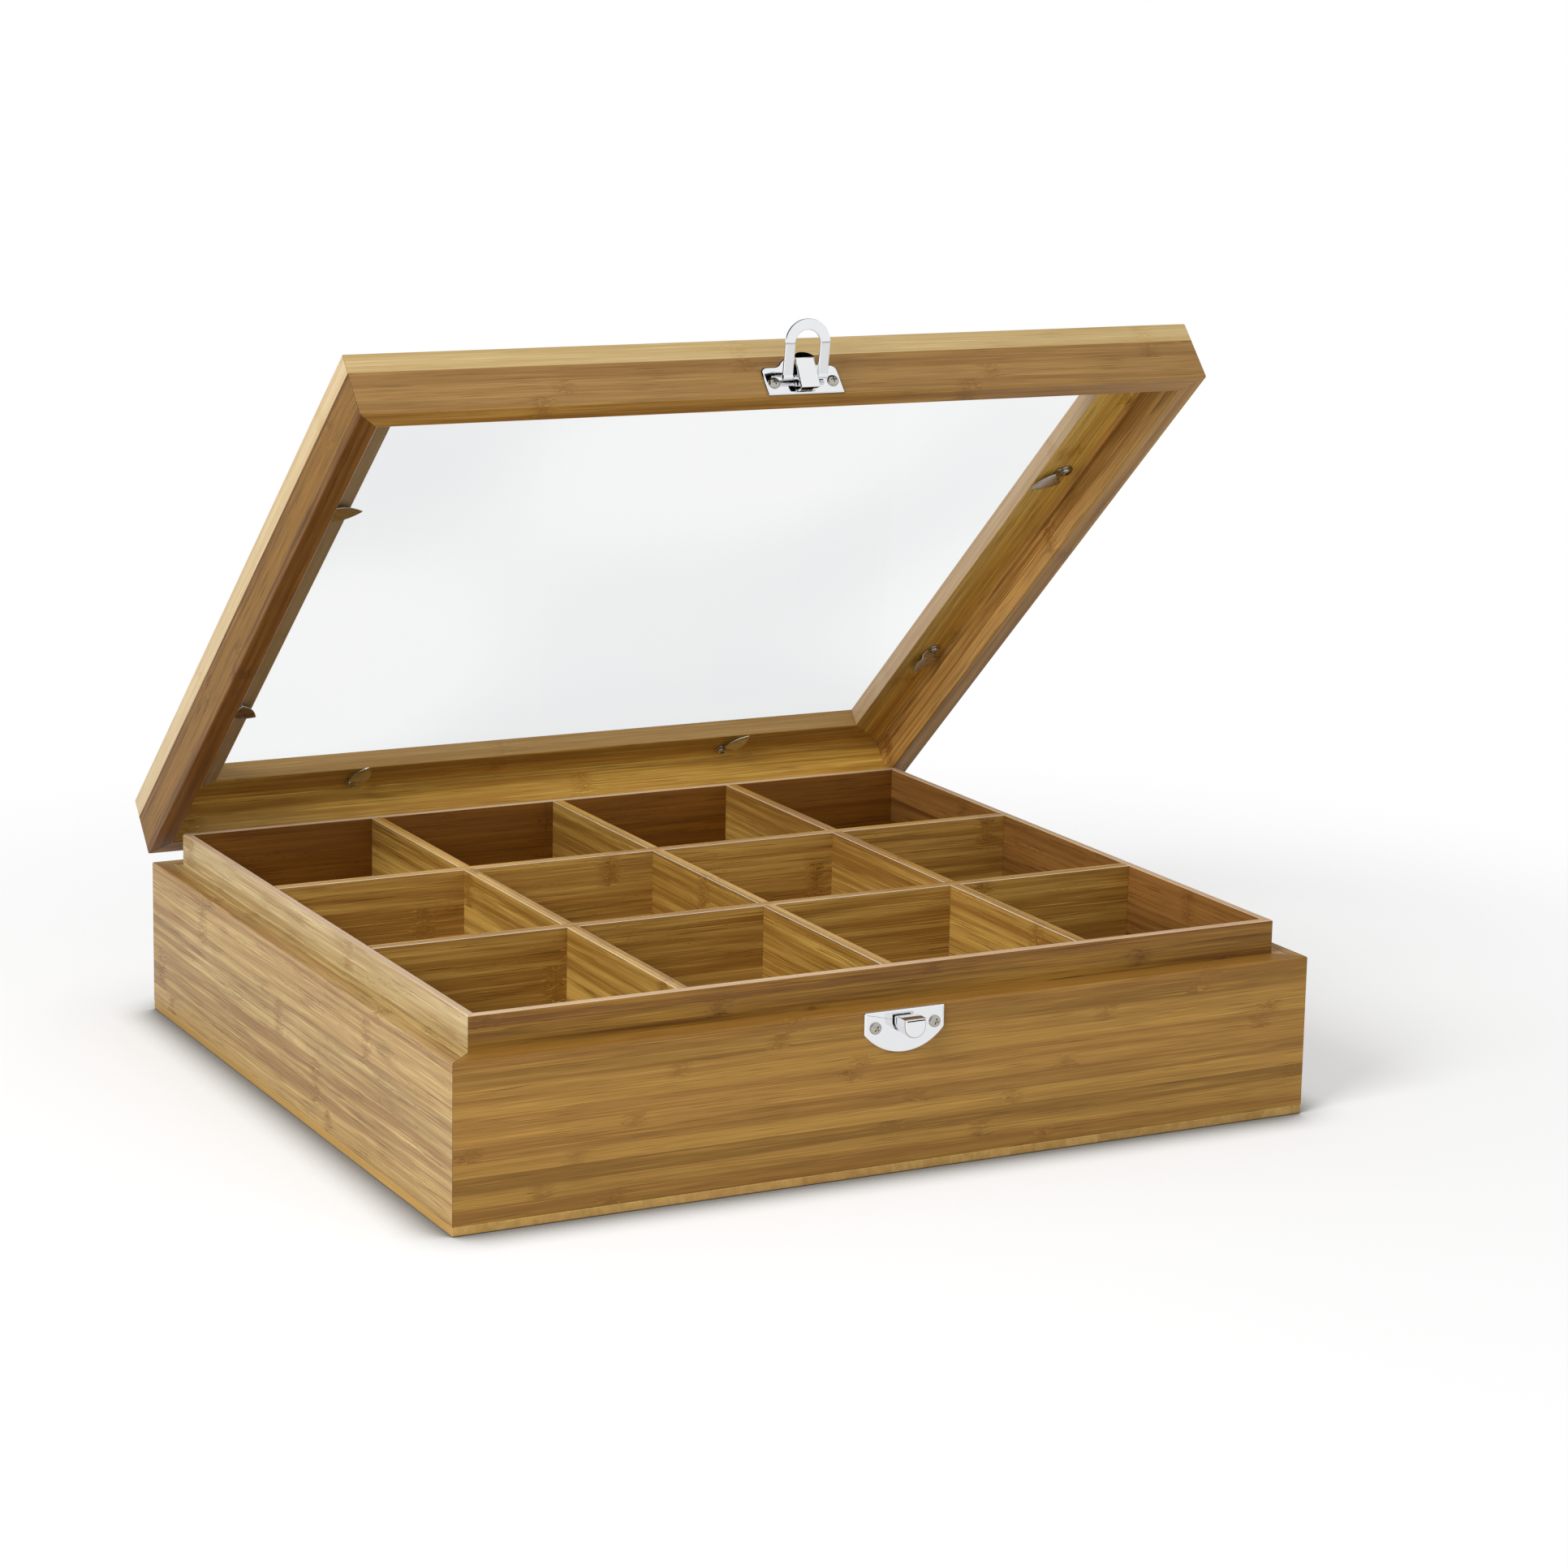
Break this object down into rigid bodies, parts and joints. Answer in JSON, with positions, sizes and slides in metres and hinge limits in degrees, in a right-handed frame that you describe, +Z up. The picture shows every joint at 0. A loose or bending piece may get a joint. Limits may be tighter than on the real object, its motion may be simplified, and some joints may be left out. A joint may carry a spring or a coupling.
{
  "type": "tea bag organizer box",
  "caption": "Shallow bamboo box that sorts tea bags in a grid of open compartments, under a hinged lid with a glass pane and a draw latch in front.",
  "frame": {"origin": "middle of the underside of the box", "axes": "+X to the right seen from the latch side, +Y to the hinges at the rear, +Z up"},
  "size_m": [0.34, 0.3357, 0.2921],
  "materials": {
    "honey_bamboo": "semi-gloss lacquer on caramelised laminated bamboo",
    "liner_bamboo": "satin bamboo strip",
    "divider_bamboo": "satin bamboo strip",
    "panel_bamboo": "raw edge of a laminated panel",
    "clear_glass": "polished sheet",
    "bright_chrome": "bright plate",
    "nickel_clip": "nickel plated",
    "plated_steel": "nickel plated",
    "steel_fastener": "bright plated"
  },
  "bodies": {
    "box": {"bottom_panel": "panel_bamboo", "front_wall": "honey_bamboo", "rear_wall": "honey_bamboo", "left_wall": "honey_bamboo", "right_wall": "honey_bamboo", "liner_front": "liner_bamboo", "liner_rear": "liner_bamboo", "liner_left": "liner_bamboo", "liner_right": "liner_bamboo", "long_divider_left": "divider_bamboo", "long_divider_centre": "divider_bamboo", "long_divider_right": "divider_bamboo", "cross_divider_front": "divider_bamboo", "cross_divider_rear": "divider_bamboo", "strike_plate": "bright_chrome", "strike_screws": "steel_fastener", "hinge_left_base_leaf": "plated_steel", "hinge_right_base_leaf": "plated_steel", "hinge_left_pin": "steel_fastener", "hinge_right_pin": "steel_fastener", "hinge_base_screws": "steel_fastener"},
    "lid": {"lid_rail_front": "honey_bamboo", "lid_rail_rear": "honey_bamboo", "lid_rail_left": "honey_bamboo", "lid_rail_right": "honey_bamboo", "glass_pane": "clear_glass", "hinge_left_lid_leaf": "plated_steel", "hinge_right_lid_leaf": "plated_steel", "hinge_lid_screws": "steel_fastener", "latch_plate": "bright_chrome", "latch_screws": "steel_fastener", "latch_lever_pin": "steel_fastener", "turn_clip_screws": "steel_fastener"},
    "lever": {"latch_lever": "bright_chrome"},
    "link": {"latch_link": "bright_chrome"},
    "clip_front_left": {"turn_clip_front_left": "nickel_clip"},
    "clip_front_right": {"turn_clip_front_right": "nickel_clip"},
    "clip_rear_left": {"turn_clip_rear_left": "nickel_clip"},
    "clip_rear_right": {"turn_clip_rear_right": "nickel_clip"},
    "clip_left_front": {"turn_clip_left_front": "nickel_clip"},
    "clip_left_rear": {"turn_clip_left_rear": "nickel_clip"},
    "clip_right_front": {"turn_clip_right_front": "nickel_clip"},
    "clip_right_rear": {"turn_clip_right_rear": "nickel_clip"}
  },
  "joints": [
    {"name": "lid_hinge", "type": "hinge", "parent": "box", "child": "lid", "pos_m": [0, 0.158, 0.055], "axis": [-1, 0, 0], "range_deg": [-41.5, 58.5]},
    {"name": "latch_lever_pivot", "type": "hinge", "parent": "lid", "child": "lever", "pos_m": [0, -0.07222, 0.26896], "axis": [1, 0, 0], "range_deg": [0, 60]},
    {"name": "latch_link_pivot", "type": "hinge", "parent": "lever", "child": "link", "pos_m": [0, -0.07009, 0.27122], "axis": [1, 0, 0], "range_deg": [-45, 82]},
    {"name": "clip_turn_front_left", "type": "hinge", "parent": "lid", "child": "clip_front_left", "pos_m": [-0.084, -0.04986, 0.26827], "axis": [0, 0.6626, 0.749], "range_deg": [-105, 75]},
    {"name": "clip_turn_front_right", "type": "hinge", "parent": "lid", "child": "clip_front_right", "pos_m": [0.084, -0.04986, 0.26827], "axis": [0, 0.6626, 0.749], "range_deg": [-70, 110]},
    {"name": "clip_turn_rear_left", "type": "hinge", "parent": "lid", "child": "clip_rear_left", "pos_m": [-0.084, 0.15835, 0.08407], "axis": [0, 0.6626, 0.749], "range_deg": [-100, 80]},
    {"name": "clip_turn_rear_right", "type": "hinge", "parent": "lid", "child": "clip_rear_right", "pos_m": [0.084, 0.15835, 0.08407], "axis": [0, 0.6626, 0.749], "range_deg": [-118, 62]},
    {"name": "clip_turn_left_front", "type": "hinge", "parent": "lid", "child": "clip_left_front", "pos_m": [-0.156, 0.00406, 0.22057], "axis": [0, 0.6626, 0.749], "range_deg": [-82, 98]},
    {"name": "clip_turn_left_rear", "type": "hinge", "parent": "lid", "child": "clip_left_rear", "pos_m": [-0.156, 0.10442, 0.13178], "axis": [0, 0.6626, 0.749], "range_deg": [-120, 60]},
    {"name": "clip_turn_right_front", "type": "hinge", "parent": "lid", "child": "clip_right_front", "pos_m": [0.156, 0.00406, 0.22057], "axis": [0, 0.6626, 0.749], "range_deg": [-55, 125]},
    {"name": "clip_turn_right_rear", "type": "hinge", "parent": "lid", "child": "clip_right_rear", "pos_m": [0.156, 0.10442, 0.13178], "axis": [0, 0.6626, 0.749], "range_deg": [-15, 165]}
  ]
}
